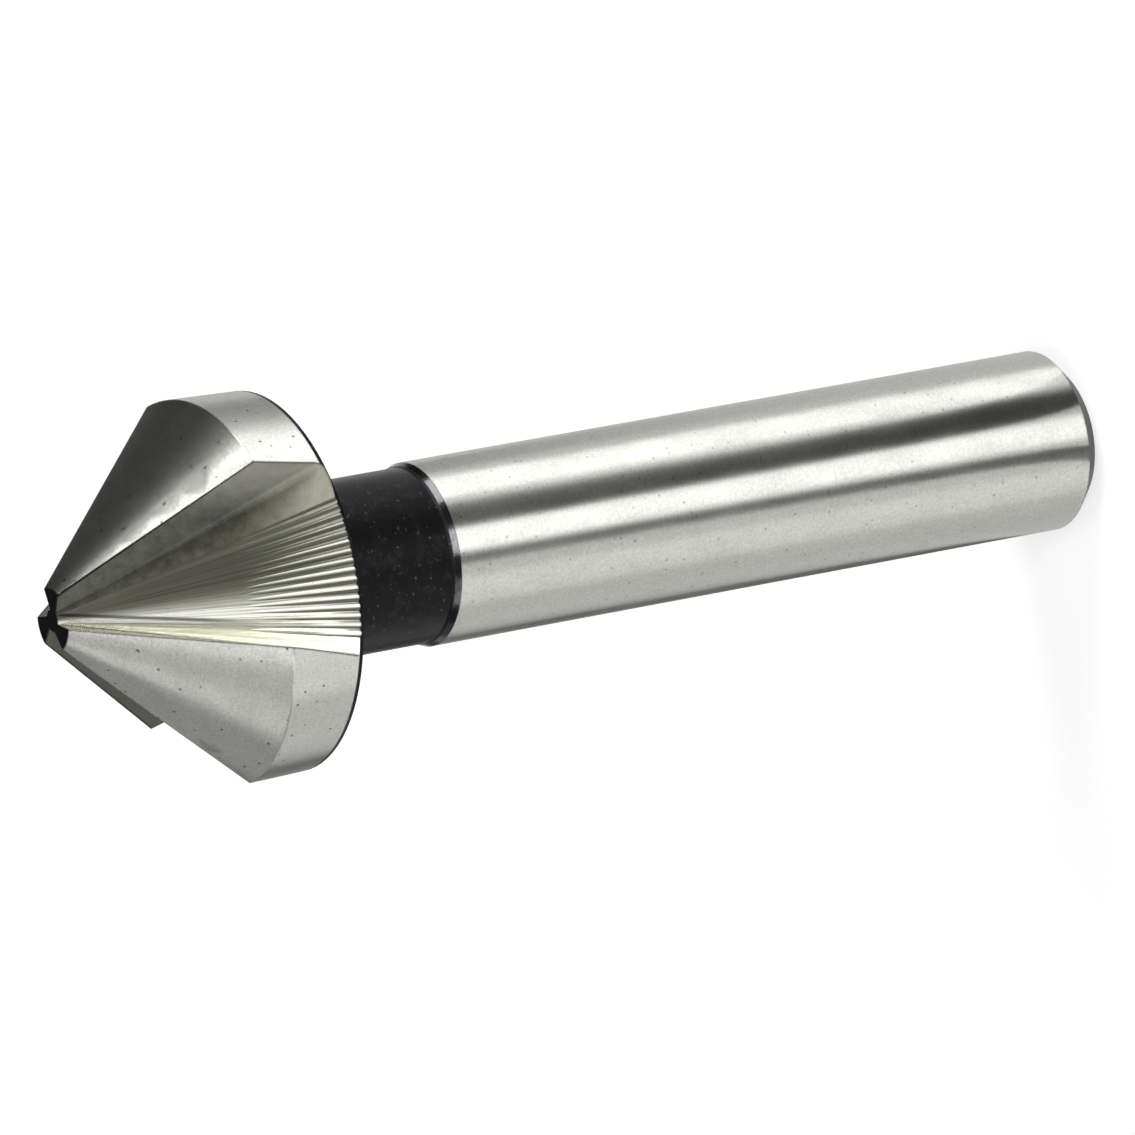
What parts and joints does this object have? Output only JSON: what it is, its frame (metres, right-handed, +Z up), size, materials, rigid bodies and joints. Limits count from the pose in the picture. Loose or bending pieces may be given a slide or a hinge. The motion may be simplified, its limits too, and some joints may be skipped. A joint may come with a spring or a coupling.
{
  "type": "countersink bit",
  "caption": "Right-hand countersink cutter with a fluted right-angle cone head, a narrow dark neck and a plain round shank.",
  "frame": {"origin": "centre of the flat shank end", "axes": "+Z up along the tool's axis, from the shank end to the cutting tip; one cutting edge lies in the XZ plane at +X"},
  "size_m": [0.0208, 0.0207, 0.063],
  "materials": {
    "ground_steel": "ground bright, with a blackened neck"
  },
  "bodies": {
    "root": {"countersink_bit": "ground_steel"}
  },
  "joints": []
}
